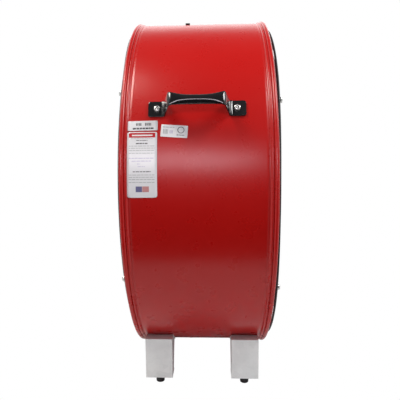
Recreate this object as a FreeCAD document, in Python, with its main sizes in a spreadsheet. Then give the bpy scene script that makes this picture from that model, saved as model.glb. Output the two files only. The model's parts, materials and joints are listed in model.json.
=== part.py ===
"""Air mover: a red steel drum fan on four folded legs, driven directly by its motor.

Frame: X is the drum's axis, with the air leaving towards +X; Z is up; the origin is
on the floor, under the middle of the drum.  Lengths are in millimetres, angles in degrees.
"Front" is the outlet side (+X), "rear" the inlet side (-X), "near" is -Y and "far" is +Y.
Angles round the drum are measured from the near horizontal (-Y), upwards.
"""
import FreeCAD, Part
import Sketcher
import math
import os
import re

SIZES = {
    # drum
    "axis_height": 364.3,
    "drum_x": 9.91,
    "shell_radius": 332.0,
    "shell_wall": 1.5,
    "drum_depth": 245.6,
    "roll_minor": 3.9,
    "roll_centre_radius": 331.6,
    "bead_minor": 2.6,
    "bead_centre_radius": 331.2,
    "bead_inset": 10.2,
    "flange_inner_radius": 298.0,
    "flange_outer_radius": 330.0,
    # wire guards
    "guard_ring_radius": 319.0,
    "guard_ring_minor": 2.0,
    "guard_wire_minor": 1.7,
    "guard_rod_radius": 1.8,
    "guard_dome": 9.0,
    "guard_first_ring": 74.0,
    "guard_ring_pitch": 13.5,
    "guard_hub_ring_radius": 62.0,
    "guard_hub_ring_minor": 2.5,
    "eyelet_radius": 7.6,
    "eyelet_circle": 309.4,
    "guard_plate_radius": 63.0,
    "guard_plate_thick": 2.0,
    "front_clock": 0.1,
    "rear_clock": 3.5,
    "front_rod_clock": 0.0,
    "rear_rod_clock": 3.5,
    # small screws
    "guard_screw_radius": 2.4,
    "guard_screw_head": 5.4,
    "guard_screw_head_high": 5.5,
    "guard_screw_long": 20.0,
    # handle
    "handle_angle": 24.9,
    "handle_x": -2.2,
    "handle_strap": 2.5,
    "handle_half": 76.0,
    "handle_plate_in": 50.0,
    "handle_grip_half": 42.5,
    "handle_rise": 37.0,
    "handle_width": 26.0,
    "handle_grip_end": 20.0,
    "handle_grip_mid": 16.0,
    "handle_screw_x": 62.0,
    "handle_screw_radius": 3.0,
    "handle_screw_head": 6.0,
    "handle_screw_head_high": 3.8,
    # legs
    "leg_x": 80.2,
    "leg_width": 50.2,
    "leg_sheet": 2.5,
    "leg_face": 212.0,
    "leg_top": 90.3,
    "leg_bottom": 14.8,
    "leg_lip_end": 188.5,
    "leg_foot_end": 176.0,
    "leg_side_bottom_end": 186.0,
    "tab_inner": 332.3,
    "tab_start": 57.5,
    "tab_end": 65.0,
    "leg_side_end": 61.6,
    "leg_bolt_angle": 61.5,
    "leg_bolt_offset": 14.0,
    "bolt_radius": 3.0,
    "bolt_head": 5.4,
    "bolt_head_high": 3.3,
    "nut_across": 10.0,
    "nut_high": 5.0,
    # feet
    "foot_y": 194.0,
    "foot_top_radius": 8.5,
    "foot_base_radius": 7.8,
    "foot_recess_radius": 5.2,
    "foot_recess_deep": 5.0,
    "foot_screw_radius": 2.5,
    "foot_screw_head": 4.4,
    "foot_screw_head_high": 3.0,
    "foot_screw_top": 25.3,
    "foot_nut_across": 8.0,
    "foot_nut_high": 4.0,
    # motor rails
    "rail_x": -10.0,
    "rail_deep": 30.0,
    "rail_inner_y": 76.0,
    "rail_wide": 20.0,
    "rail_sheet": 2.5,
    "rail_bolt_angle": 75.0,
    "rail_bolt_x": -25.4,
    "rail_tab_half": 15.0,
    "rail_bolt_radius": 2.5,
    "rail_bolt_head": 4.6,
    "rail_nut_across": 8.0,
    # motor
    "plate_thick": 4.0,
    "plate_half_y": 98.0,
    "plate_half_z": 75.0,
    "plate_hole": 32.0,
    "plate_bolt_y": 86.0,
    "plate_bolt_z": 60.0,
    "plate_bolt_radius": 4.0,
    "plate_bolt_head_across": 13.0,
    "plate_bolt_head_high": 4.3,
    "motor_radius": 70.0,
    "motor_wall": 2.0,
    "bell_long": 16.0,
    "bearing_long": 12.0,
    "bearing_radius": 20.0,
    "shell_long": 62.0,
    "stator_long": 42.0,
    "stator_bore": 35.0,
    "rotor_radius": 34.4,
    "shaft_radius": 8.0,
    "shaft_gap": 0.4,
    "shaft_front": 68.0,
    "motor_bolt_circle": 50.0,
    "motor_bolt_radius": 3.0,
    "motor_bolt_long": 16.0,
    "capacitor_radius": 17.5,
    "capacitor_long": 64.0,
    "capacitor_lift": 90.0,
    # fan wheel
    "hub_radius": 26.0,
    "hub_start": 21.0,
    "hub_long": 46.0,
    "wheel_x": 44.0,
    "arm_thick": 4.0,
    "arm_wide": 36.0,
    "arm_end": 122.0,
    "arm_pitch": 34.0,
    "blade_tip": 302.0,
    "blade_root": 64.0,
    "blade_thick": 2.0,
    "blade_gap": 1.4,
    "rivet_radius": 3.0,
    "rivet_head": 5.5,
    "rivet_head_high": 2.0,
    # controls on the rear guard's centre plate
    "box_half_y": 38.0,
    "box_half_z": 43.0,
    "box_deep": 29.0,
    "box_wall": 2.0,
    "switch_up": 16.0,
    "switch_radius": 13.0,
    "switch_long": 16.0,
    "bush_radius": 4.9,
    "bush_out": 3.0,
    "bush_nut_across": 14.0,
    "bush_nut_high": 2.2,
    "spindle_radius": 3.0,
    "knob_radius": 17.0,
    "knob_high": 15.0,
    "knob_gap": 0.6,
    "gland_down": 28.0,
    "gland_thread": 7.5,
    "gland_hex_across": 22.0,
    "gland_dome_radius": 9.0,
    "gland_bore": 4.2,
    "gland_out": 17.0,
    # labels
    "label_thick": 0.3,
    "label_gap": 0.05,
}

doc = FreeCAD.newDocument("AirMover")
sheet = doc.addObject("Spreadsheet::Sheet", "dims")
for row, (alias, value) in enumerate(SIZES.items(), 1):
    sheet.set("A%d" % row, alias)
    sheet.set("B%d" % row, str(value))
    sheet.setAlias("B%d" % row, alias)
doc.recompute()

X_AXIS = FreeCAD.Vector(1, 0, 0)
Y_AXIS = FreeCAD.Vector(0, 1, 0)
Z_AXIS = FreeCAD.Vector(0, 0, 1)
ALONG = {
    "+X": FreeCAD.Rotation(Y_AXIS, 90),
    "-X": FreeCAD.Rotation(Y_AXIS, -90),
    "+Z": FreeCAD.Rotation(),
    "-Z": FreeCAD.Rotation(X_AXIS, 180),
}
nodes = []


# ---------------------------------------------------------------- helpers

def ref(expr):
    """The expression with each size's name turned into its cell in the sheet."""
    return re.sub(r"[a-z][a-z_]+", lambda m: "dims." + m[0] if m[0] in SIZES else m[0], str(expr))


def val(expr):
    """The number that an expression has now."""
    return float(sheet.evalExpression(ref(expr)))


def bind(obj, **props):
    for prop, expr in props.items():
        obj.setExpression(prop, ref(expr))


def place(obj, at=(0, 0, 0), turn=FreeCAD.Rotation()):
    obj.Placement = FreeCAD.Placement(FreeCAD.Vector(), turn)
    for letter, expr in zip("xyz", at):
        if expr != 0:
            obj.setExpression("Placement.Base." + letter, ref(expr))
    return obj


def cylinder(radius, length, at=(0, 0, 0), along="+Z"):
    obj = doc.addObject("Part::Cylinder", "Cylinder")
    bind(obj, Radius=radius, Height=length)
    return place(obj, at, ALONG[along])


def cone(radius_low, radius_high, length, at=(0, 0, 0), along="+Z"):
    obj = doc.addObject("Part::Cone", "Cone")
    bind(obj, Radius1=radius_low, Radius2=radius_high, Height=length)
    return place(obj, at, ALONG[along])


def hexagon(across, length, at=(0, 0, 0), along="+Z"):
    obj = doc.addObject("Part::Prism", "Prism")
    obj.Polygon = 6
    bind(obj, Circumradius="(%s) / sqrt(3)" % across, Height=length)
    return place(obj, at, ALONG[along])


def torus(major, minor, at_x):
    """A ring round the X axis."""
    obj = doc.addObject("Part::Torus", "Torus")
    bind(obj, Radius1=major, Radius2=minor)
    return place(obj, (at_x, 0, 0), ALONG["+X"])


def box(low, high):
    """A box between two corners, each given as three expressions."""
    obj = doc.addObject("Part::Box", "Box")
    bind(obj, Length="(%s) - (%s)" % (high[0], low[0]), Width="(%s) - (%s)" % (high[1], low[1]),
         Height="(%s) - (%s)" % (high[2], low[2]))
    return place(obj, low)


def cut(base, *tools):
    obj = doc.addObject("Part::Cut", "Cut")
    obj.Base = base
    obj.Tool = tools[0] if len(tools) == 1 else group(*tools)
    return obj


def fuse(*parts):
    obj = doc.addObject("Part::MultiFuse", "Fusion")
    obj.Shapes = list(parts)
    obj.Refine = False
    return obj


def common(*parts):
    obj = doc.addObject("Part::MultiCommon", "Common")
    obj.Shapes = list(parts)
    return obj


def group(*parts):
    obj = doc.addObject("Part::Compound", "Group")
    obj.Links = list(parts)
    return obj


def tube(outer, inner, low_x, high_x):
    """A ring-shaped solid round the X axis."""
    length = "(%s) - (%s)" % (high_x, low_x)
    return cut(cylinder(outer, length, (low_x, 0, 0), "+X"),
               cylinder(inner, length, (low_x, 0, 0), "+X"))


def turned(obj, angle):
    """Turn a piece made with the drum's radius upwards to its angle round the drum."""
    obj.Placement = FreeCAD.Placement(FreeCAD.Vector(), FreeCAD.Rotation(X_AXIS, 90 - angle))
    return obj


def raised(obj):
    """Lift a piece made about the drum's axis to the axis's height."""
    spin = obj.Placement.Rotation
    return place(obj, (0, 0, "axis_height"), spin)


def node(name, obj):
    """Name a finished piece, and move it along X so that the origin is under the whole machine's middle."""
    at_x = dict(obj.ExpressionEngine).get(".Placement.Base.x", "0")
    obj.setExpression("Placement.Base.x", "dims.drum_x + (%s)" % at_x)
    obj.Label = name
    nodes.append(obj)
    return obj


def origin_plane(body, role):
    return next(f for f in body.Origin.OriginFeatures if f.Role == role)


def sketch_on(body, name, role="XY_Plane", offset=0):
    sketch = body.newObject("Sketcher::SketchObject", name)
    sketch.AttachmentSupport = [(origin_plane(body, role), "")]
    sketch.MapMode = "FlatFace"
    sketch.setExpression("AttachmentOffset.Base.z", ref(offset))
    return sketch


def outline(sketch, points):
    """A closed outline of straight sides, each corner bound to its two expressions."""
    start = sketch.GeometryCount
    corners = [FreeCAD.Vector(val(px), val(py), 0) for px, py in points]
    count = len(corners)
    for i, corner in enumerate(corners):
        sketch.addGeometry(Part.LineSegment(corner, corners[(i + 1) % count]))
    for i, (px, py) in enumerate(points):
        this = start + i
        sketch.addConstraint(Sketcher.Constraint("Coincident", this, 2, start + (i + 1) % count, 1))
        for kind, expr, number in (("DistanceX", px, corners[i].x), ("DistanceY", py, corners[i].y)):
            index = sketch.addConstraint(Sketcher.Constraint(kind, -1, 1, this, 1, number))
            sketch.setExpression("Constraints[%d]" % index, ref(expr))


def pad(body, sketch, length, midplane=False):
    feature = body.newObject("PartDesign::Pad", "Pad")
    feature.Profile = sketch
    feature.Midplane = midplane
    bind(feature, Length=length)
    return feature


def on_circle(radius, angle):
    """Y and Z of a point at a radius and angle round the drum's axis."""
    return ("-(%s) * cos((%s) * 1deg)" % (radius, angle),
            "axis_height + (%s) * sin((%s) * 1deg)" % (radius, angle))


def axial_circle(radius, angle):
    """The same point measured from the drum's axis."""
    return ("-(%s) * cos((%s) * 1deg)" % (radius, angle),
            "(%s) * sin((%s) * 1deg)" % (radius, angle))


# ---------------------------------------------------------------- drum shell

RAIL_ANGLES = [base + at for base in (0, 180)
               for at in (val("rail_bolt_angle"), 180 - val("rail_bolt_angle"))]
LEG_ANGLES = [-val("leg_bolt_angle"), 180 + val("leg_bolt_angle")]
HANDLE_ANGLES = {"near": val("handle_angle"), "far": 180 - val("handle_angle")}
GUARD_ANGLES = [30 + 60 * k for k in range(6)]
SIDES = {"front": "+X", "rear": "-X"}
CLOCK = {"front": "front_clock", "rear": "rear_clock"}


def radial_pin(angle, x, radius, low="shell_radius - 20", high="shell_radius + 20"):
    return turned(group(cylinder(radius, "(%s) - (%s)" % (high, low), (x, 0, low))), angle)


def drum_holes():
    pins = []
    for angle in RAIL_ANGLES:
        pins.append(radial_pin(angle, "rail_bolt_x", "rail_bolt_radius + 0.2"))
    for angle in LEG_ANGLES:
        for leg in ("leg_x", "-leg_x"):
            for step in ("leg_bolt_offset", "-leg_bolt_offset"):
                pins.append(radial_pin(angle, "%s + %s" % (leg, step), "bolt_radius + 0.2"))
    for angle in HANDLE_ANGLES.values():
        for x in ("handle_screw_x", "-handle_screw_x"):
            pins.append(radial_pin(angle, "handle_x + %s" % x, "handle_screw_radius + 0.2"))
    return pins


def face_holes(side):
    along = SIDES[side]
    pins = []
    for angle in GUARD_ANGLES:
        y, z = axial_circle("eyelet_circle", "%s + %s" % (angle, CLOCK[side]))
        start = ("%s(drum_depth / 2 - 10)" % along[0], y, z)
        pins.append(cylinder("guard_screw_radius + 0.2", 20, start, along))
    return pins


def make_shell():
    """The rolled barrel with a rolled rim and a bead at each end, and a flat ring let into each rim."""
    half = "drum_depth / 2"
    parts = [tube("shell_radius", "shell_radius - shell_wall",
                  "roll_minor - %s" % half, "%s - roll_minor" % half)]
    for sign in ("", "-"):
        parts.append(torus("roll_centre_radius", "roll_minor", "%s(%s - roll_minor)" % (sign, half)))
        parts.append(torus("bead_centre_radius", "bead_minor", "%s(%s - bead_inset)" % (sign, half)))
    bands = {"front": ("%s - shell_wall" % half, half), "rear": ("-%s" % half, "shell_wall - %s" % half)}
    seats = []
    for side, (low, high) in bands.items():
        seats.append(cylinder("flange_outer_radius", "shell_wall", (low, 0, 0), "+X"))
        ring = tube("flange_outer_radius", "flange_inner_radius", low, high)
        node("%s_face_ring" % side, raised(cut(ring, *face_holes(side))))
    node("drum_shell", raised(cut(fuse(*parts), *seats, *drum_holes())))


# ---------------------------------------------------------------- guards

RING_COUNT = 17
ROD_COUNT = 16


def guard_depth(radius, offset):
    """How far out from the drum's middle the guard's cone stands at a radius."""
    slope = "(guard_ring_radius - (%s)) / (guard_ring_radius - guard_hub_ring_radius)" % radius
    return "drum_depth / 2 + guard_ring_minor + guard_dome * %s + (%s)" % (slope, offset)


def guard_rod(sign, angle):
    """A straight radial wire welded between the outer ring and the ring round the centre plate."""
    low = val("guard_hub_ring_radius + guard_hub_ring_minor")
    lean = math.degrees(math.atan(val("guard_dome / (guard_ring_radius - guard_hub_ring_radius)")))
    rod = cylinder("guard_rod_radius",
                   "guard_ring_radius - guard_ring_minor - guard_hub_ring_radius - guard_hub_ring_minor")
    rod.Placement = FreeCAD.Placement(
        FreeCAD.Vector(sign * val(guard_depth(low, 0)), 0, low), FreeCAD.Rotation(Y_AXIS, -sign * lean))
    return turned(group(rod), angle)


def make_guard(side):
    along = SIDES[side]
    mark = along[0]
    sign = 1 if mark == "+" else -1
    out = lambda depth: "%s(%s)" % (mark, depth)
    parts = [torus("guard_%s_radius" % ring, "guard_%s_minor" % ring,
                   out(guard_depth("guard_%s_radius" % ring, 0)))
             for ring in ("ring", "hub_ring")]
    lift = "guard_rod_radius + guard_wire_minor"
    for k in range(RING_COUNT):
        radius = "guard_first_ring + %d * guard_ring_pitch" % k
        parts.append(torus(radius, "guard_wire_minor", out(guard_depth(radius, lift))))
    for k in range(ROD_COUNT):
        parts.append(guard_rod(sign, 360 / ROD_COUNT * (k + 0.5) + val("%s_rod_clock" % side)))
    for angle in GUARD_ANGLES:
        y, z = axial_circle("eyelet_circle", "%s + %s" % (angle, CLOCK[side]))
        start = ("%s(drum_depth / 2)" % mark, y, z)
        parts.append(cut(cylinder("eyelet_radius", "2 * guard_ring_minor", start, along),
                         cylinder("guard_screw_radius + 0.1", "2 * guard_ring_minor", start, along)))
    node("%s_guard" % side, raised(group(*parts)))
    screws = []
    for angle in GUARD_ANGLES:
        y, z = axial_circle("eyelet_circle", "%s + %s" % (angle, CLOCK[side]))
        seat = "drum_depth / 2 + 2 * guard_ring_minor"
        shank = cylinder("guard_screw_radius", "guard_screw_long",
                         ("%s(%s - guard_screw_long)" % (mark, seat), y, z), along)
        head = cylinder("guard_screw_head", "guard_screw_head_high", ("%s(%s)" % (mark, seat), y, z), along)
        screws.append(fuse(shank, head))
    node("%s_guard_screws" % side, raised(group(*screws)))


PLATE_IN = guard_depth("guard_hub_ring_radius", "guard_hub_ring_minor")
PLATE_OUT = "%s + guard_plate_thick" % PLATE_IN
BOX_SCREWS = [(sy, sz) for sy in ("", "-") for sz in ("", "-")]


def make_centre_plates():
    node("front_guard_plate", raised(
        group(cylinder("guard_plate_radius", "guard_plate_thick", (PLATE_IN, 0, 0), "+X"))))
    disc = cylinder("guard_plate_radius", "guard_plate_thick", ("-(%s)" % PLATE_IN, 0, 0), "-X")
    through = "-(%s) + 5" % PLATE_IN
    holes = [cylinder("bush_radius + 0.2", 12, (through, 0, "switch_up"), "-X"),
             cylinder("gland_thread + 0.1", 12, (through, 0, "-gland_down"), "-X")]
    for sy, sz in BOX_SCREWS:
        holes.append(cylinder(2, 12, (through, "%s(box_half_y - 5)" % sy, "%s(box_half_z - 5)" % sz), "-X"))
    node("rear_guard_plate", raised(cut(disc, *holes)))


# ---------------------------------------------------------------- handles

def radial_fastener(x, seat, radius, head, head_high, length):
    """A screw standing along the drum's radius, its head outwards, tangential offset none."""
    shank = cylinder(radius, length, (x, 0, "%s - %s" % (seat, length)))
    top = cylinder(head, head_high, (x, 0, seat))
    return fuse(shank, top)


def radial_nut(x, across, high, hole, top="shell_radius - shell_wall - 0.1"):
    """A nut inside the drum, under the wall."""
    low = "%s - %s" % (top, high)
    return cut(hexagon(across, high, (x, 0, low)), cylinder(hole, high, (x, 0, low)))


def slid(obj):
    """Move a handle's piece along the drum to the handle's own place."""
    obj.setExpression("Placement.Base.x", ref("handle_x"))
    return obj


def make_handle(side, angle):
    body = doc.addObject("PartDesign::Body", "Handle")
    hat = sketch_on(body, "HatProfile", "XZ_Plane")
    low = "shell_radius + 0.3"
    top = "shell_radius + handle_rise"
    strap = "handle_strap"
    right = [("handle_half", low), ("handle_half", "%s + %s" % (low, strap)),
             ("handle_plate_in + %s" % strap, "%s + %s" % (low, strap)),
             ("handle_grip_half + %s" % strap, "%s - 5" % top),
             ("handle_grip_half - 4", top)]
    inner = [("handle_grip_half - 5.5", "%s - %s" % (top, strap)),
             ("handle_grip_half", "%s - 6" % top), ("handle_plate_in", low)]
    flip = lambda pts: [("-(%s)" % px, py) for px, py in reversed(pts)]
    outline(hat, right + flip(right) + flip(inner) + inner)
    pad(body, hat, "handle_width", midplane=True)
    doc.recompute()
    waist = sketch_on(body, "WaistProfile", "XY_Plane")
    for sign in ("", "-"):
        outline(waist, [("-handle_plate_in - 1", "%s(handle_width / 2 + 1)" % sign),
                        ("handle_plate_in + 1", "%s(handle_width / 2 + 1)" % sign),
                        ("handle_plate_in", "%s(handle_width / 2)" % sign),
                        ("handle_grip_half - 4", "%s(handle_grip_end / 2)" % sign),
                        ("handle_grip_half - 18", "%s(handle_grip_mid / 2 + 0.4)" % sign),
                        (0, "%s(handle_grip_mid / 2)" % sign),
                        ("18 - handle_grip_half", "%s(handle_grip_mid / 2 + 0.4)" % sign),
                        ("4 - handle_grip_half", "%s(handle_grip_end / 2)" % sign),
                        ("-handle_plate_in", "%s(handle_width / 2)" % sign)])
    pocket = body.newObject("PartDesign::Pocket", "Waist")
    pocket.Profile = waist
    pocket.Type = "ThroughAll"
    pocket.Reversed = True
    doc.recompute()
    holes = [cylinder("handle_screw_radius + 0.2", 10, (x, 0, "shell_radius - 3"))
             for x in ("handle_screw_x", "-handle_screw_x")]
    node("handle_%s" % side, slid(raised(turned(cut(body, *holes), angle))))
    seat = "shell_radius + 0.3 + handle_strap"
    sizes = ("handle_screw_radius", "handle_screw_head", "handle_screw_head_high", 14)
    screws = [radial_fastener(x, seat, *sizes) for x in ("handle_screw_x", "-handle_screw_x")]
    node("handle_screws_%s" % side, slid(raised(turned(group(*screws), angle))))
    nuts = [radial_nut(x, "nut_across", "nut_high", "handle_screw_radius")
            for x in ("handle_screw_x", "-handle_screw_x")]
    return turned(group(*nuts), angle)


# ---------------------------------------------------------------- legs and feet

LEGS = {"leg_front_near": ("leg_x", "-"), "leg_front_far": ("leg_x", ""),
        "leg_rear_near": ("-leg_x", "-"), "leg_rear_far": ("-leg_x", "")}


def make_leg(name, x, side):
    """A folded leg: foot flange, face, lip, curved tab under the drum, and two side flanges."""
    turn = FreeCAD.Rotation() if side == "-" else FreeCAD.Rotation(Z_AXIS, 180)
    body = doc.addObject("PartDesign::Body", "Leg")
    arc = lambda radius, start, end: [
        on_circle(radius, "-(%s + (%s - %s) * %d / 4)" % (start, end, start, k)) for k in range(5)]
    strap = [("-leg_face", "leg_bottom"), ("-leg_face", "leg_top"), ("-leg_lip_end", "leg_top")]
    strap += arc("tab_inner", "tab_start", "tab_end")
    strap += arc("tab_inner + leg_sheet", "tab_start", "tab_end")[::-1]
    strap += [("-leg_lip_end - 1", "leg_top - leg_sheet"), ("leg_sheet - leg_face", "leg_top - leg_sheet"),
              ("leg_sheet - leg_face", "leg_bottom + leg_sheet"), ("-leg_foot_end", "leg_bottom + leg_sheet"),
              ("-leg_foot_end", "leg_bottom")]
    strip = sketch_on(body, "StripProfile", "YZ_Plane")
    outline(strip, strap)
    pad(body, strip, "leg_width", midplane=True)
    cheek = [("-leg_face", "leg_bottom"), ("-leg_face", "leg_top"), ("-leg_lip_end", "leg_top")]
    cheek += arc("tab_inner", "tab_start", "leg_side_end")
    cheek += [("-leg_side_bottom_end", "leg_bottom")]
    for offset in ("-leg_width / 2", "leg_width / 2 - leg_sheet"):
        side_sketch = sketch_on(body, "SideProfile", "YZ_Plane", offset)
        outline(side_sketch, cheek)
        pad(body, side_sketch, "leg_sheet")
    doc.recompute()
    bores = [cylinder("foot_screw_radius + 0.2", 10, (0, "-foot_y", "leg_bottom - 3"))]
    for step in ("leg_bolt_offset", "-leg_bolt_offset"):
        bore = radial_pin(-val("leg_bolt_angle"), step, "bolt_radius + 0.2")
        bores.append(raised(bore))
    leg = cut(body, *bores)
    node(name, place(leg, (x, 0, 0), turn))


def make_leg_fasteners():
    seat = "tab_inner + leg_sheet"
    screws, nuts = [], []
    for angle in LEG_ANGLES:
        for leg in ("leg_x", "-leg_x"):
            for step in ("leg_bolt_offset", "-leg_bolt_offset"):
                x = "%s + %s" % (leg, step)
                bolt = radial_fastener(x, seat, "bolt_radius", "bolt_head", "bolt_head_high", 14)
                screws.append(turned(group(bolt), angle))
                nuts.append(turned(group(radial_nut(x, "nut_across", "nut_high", "bolt_radius")), angle))
    node("leg_bolts", raised(group(*screws)))
    node("leg_nuts", raised(group(*nuts)))


def make_feet():
    screws, nuts = [], []
    for name, (x, side) in LEGS.items():
        y = "%sfoot_y" % side
        rubber = cone("foot_base_radius", "foot_top_radius", "leg_bottom", (x, y, 0))
        recess = cylinder("foot_recess_radius", "foot_recess_deep", (x, y, 0))
        bore = cylinder("foot_screw_radius + 0.1", "leg_bottom", (x, y, 0))
        node(name.replace("leg_", "foot_"), cut(rubber, recess, bore))
        seat = "foot_recess_deep"
        shank = cylinder("foot_screw_radius", "foot_screw_top - %s" % seat, (x, y, seat))
        head = cylinder("foot_screw_head", "foot_screw_head_high", (x, y, "%s - foot_screw_head_high" % seat))
        screws.append(fuse(shank, head))
        floor = "leg_bottom + leg_sheet"
        nuts.append(cut(hexagon("foot_nut_across", "foot_nut_high", (x, y, floor)),
                        cylinder("foot_screw_radius", "foot_nut_high", (x, y, floor))))
    node("foot_screws", group(*screws))
    node("foot_nuts", group(*nuts))


# ---------------------------------------------------------------- motor rails and mounting plate

def make_rail(side, sign):
    """An upright channel with its web to the front and its ends turned against the drum's wall."""
    body = doc.addObject("PartDesign::Body", "Rail")
    section = sketch_on(body, "ChannelSection", "XY_Plane")
    back, web = "rail_x - rail_deep", "rail_x - rail_sheet"
    low, high = "rail_inner_y", "rail_inner_y + rail_wide"
    outline(section, [(back, low), ("rail_x", low), ("rail_x", high), (back, high),
                      (back, "%s - rail_sheet" % high), (web, "%s - rail_sheet" % high),
                      (web, "%s + rail_sheet" % low), (back, "%s + rail_sheet" % low)])
    pad(body, section, "2 * shell_radius", midplane=True)
    doc.recompute()
    inside = cylinder("shell_radius - shell_wall - 0.3", "drum_depth", ("-drum_depth / 2", 0, 0), "+X")
    parts = [common(body, inside)]
    bores = []
    for angle in (val("rail_bolt_angle"), -val("rail_bolt_angle")):
        top = "shell_radius - shell_wall - 0.4"
        tab = box((back, "-rail_tab_half", "%s - rail_sheet" % top), ("rail_x", "rail_tab_half", top))
        parts.append(turned(group(tab), 180 - angle))
        bores.append(radial_pin(180 - angle, "rail_bolt_x", "rail_bolt_radius + 0.2"))
    for z in ("plate_bolt_z", "-plate_bolt_z"):
        bores.append(cylinder("plate_bolt_radius + 0.2", 10, ("rail_x - 6", "plate_bolt_y", z), "+X"))
    rail = cut(fuse(*parts), *bores)
    rail.Placement = FreeCAD.Placement(FreeCAD.Vector(), FreeCAD.Rotation(X_AXIS, 180 if sign == "-" else 0))
    node("motor_rail_%s" % side, raised(rail))


def make_rail_fasteners():
    screws, nuts = [], []
    for angle in RAIL_ANGLES:
        bolt = radial_fastener("rail_bolt_x", "shell_radius + 0.1", "rail_bolt_radius", "rail_bolt_head",
                               "bolt_head_high", 14)
        screws.append(turned(group(bolt), angle))
        nut = radial_nut("rail_bolt_x", "rail_nut_across", "nut_high", "rail_bolt_radius",
                         "shell_radius - shell_wall - 0.4 - rail_sheet")
        nuts.append(turned(group(nut), angle))
    node("rail_bolts", raised(group(*screws)))
    node("rail_nuts", raised(group(*nuts)))


def make_mount_plate():
    slab = box(("rail_x", "-plate_half_y", "-plate_half_z"),
               ("rail_x + plate_thick", "plate_half_y", "plate_half_z"))
    holes = [cylinder("plate_hole", 10, ("rail_x - 2", 0, 0), "+X")]
    screws, nuts = [], []
    for sy in ("", "-"):
        for sz in ("", "-"):
            y, z = "%splate_bolt_y" % sy, "%splate_bolt_z" % sz
            holes.append(cylinder("plate_bolt_radius + 0.2", 10, ("rail_x - 2", y, z), "+X"))
            seat = "rail_x + plate_thick"
            shank = cylinder("plate_bolt_radius", 17, ("%s - 17" % seat, y, z), "+X")
            head = hexagon("plate_bolt_head_across", "plate_bolt_head_high", (seat, y, z), "+X")
            screws.append(fuse(shank, head))
            nut_x = "rail_x - rail_sheet - 6"
            nuts.append(cut(hexagon("plate_bolt_head_across", 6, (nut_x, y, z), "+X"),
                            cylinder("plate_bolt_radius", 6, (nut_x, y, z), "+X")))
    for angle in (45, 135, 225, 315):
        y, z = axial_circle("motor_bolt_circle", angle)
        holes.append(cylinder("motor_bolt_radius + 0.2", 10, ("rail_x - 2", y, z), "+X"))
    node("motor_plate", raised(cut(slab, *holes)))
    node("motor_plate_bolts", raised(group(*screws)))
    node("motor_plate_nuts", raised(group(*nuts)))


# ---------------------------------------------------------------- motor

def make_motor():
    front = "rail_x"
    front_in = "%s - bell_long" % front
    rear_in = "%s - shell_long" % front_in
    rear = "%s - bell_long" % rear_in
    node("motor_shell", raised(tube("motor_radius", "motor_radius - motor_wall", rear_in, front_in)))
    bolt_holes, bolts = [], []
    for angle in (45, 135, 225, 315):
        y, z = axial_circle("motor_bolt_circle", angle)
        seat = "rail_x + plate_thick"
        start = "%s - motor_bolt_long" % seat
        bolt_holes.append(cylinder("motor_bolt_radius", "motor_bolt_long", (start, y, z), "+X"))
        shank = cylinder("motor_bolt_radius", "motor_bolt_long", (start, y, z), "+X")
        head = hexagon("nut_across", "plate_bolt_head_high", (seat, y, z), "+X")
        bolts.append(fuse(shank, head))
    bell = cylinder("motor_radius", "bell_long", (front_in, 0, 0), "+X")
    seat_hole = cylinder("bearing_radius", "bearing_long", (front_in, 0, 0), "+X")
    shaft_hole = cylinder("shaft_radius + 1.5", "bell_long", (front_in, 0, 0), "+X")
    node("motor_bell_front", raised(cut(bell, seat_hole, shaft_hole, *bolt_holes)))
    node("motor_bolts", raised(group(*bolts)))
    rear_bell = cylinder("motor_radius", "bell_long", (rear, 0, 0), "+X")
    rear_seat = cylinder("bearing_radius", "bearing_long", ("%s - bearing_long" % rear_in, 0, 0), "+X")
    node("motor_bell_rear", raised(cut(rear_bell, rear_seat)))
    bore = "shaft_radius + shaft_gap"
    node("bearing_front", raised(tube("bearing_radius", bore, front_in, "%s + bearing_long" % front_in)))
    node("bearing_rear", raised(tube("bearing_radius", bore, "%s - bearing_long" % rear_in, rear_in)))
    middle = "%s - shell_long / 2" % front_in
    low, high = "%s - stator_long / 2" % middle, "%s + stator_long / 2" % middle
    node("stator", raised(tube("motor_radius - motor_wall", "stator_bore", low, high)))
    node("rotor_core", raised(tube("rotor_radius", "shaft_radius", low, high)))
    tail = "%s - bearing_long + 0.6" % rear_in
    node("motor_shaft", raised(group(
        cylinder("shaft_radius", "shaft_front - (%s)" % tail, (tail, 0, 0), "+X"))))
    can_x = "%s - shell_long / 2 - capacitor_long / 2" % front_in
    node("capacitor", raised(group(
        cylinder("capacitor_radius", "capacitor_long", (can_x, 0, "capacitor_lift"), "+X"))))
    strap_x = "%s - shell_long / 2 - 7" % front_in
    band = cylinder("capacitor_radius + 1.5", 14, (strap_x, 0, "capacitor_lift"), "+X")
    saddle = box((strap_x, -14, "motor_radius - 3"), ("%s + 14" % strap_x, 14, "capacitor_lift - 10"))
    void = cylinder("capacitor_radius", 14, (strap_x, 0, "capacitor_lift"), "+X")
    under = cylinder("motor_radius", 14, (strap_x, 0, 0), "+X")
    node("capacitor_strap", raised(cut(fuse(band, saddle), void, under)))


# ---------------------------------------------------------------- fan wheel

# radius, chord, pitch from the plane of rotation, camber (the share of the chord)
BLADE_SECTIONS = [(64, 96, 34, 0.05), (125, 150, 34, 0.055), (195, 196, 28, 0.06),
                  (255, 214, 24, 0.06), (288, 196, 21, 0.055), (302, 150, 20, 0.04)]
BLADE_ANGLES = (90, 210, 330)


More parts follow.
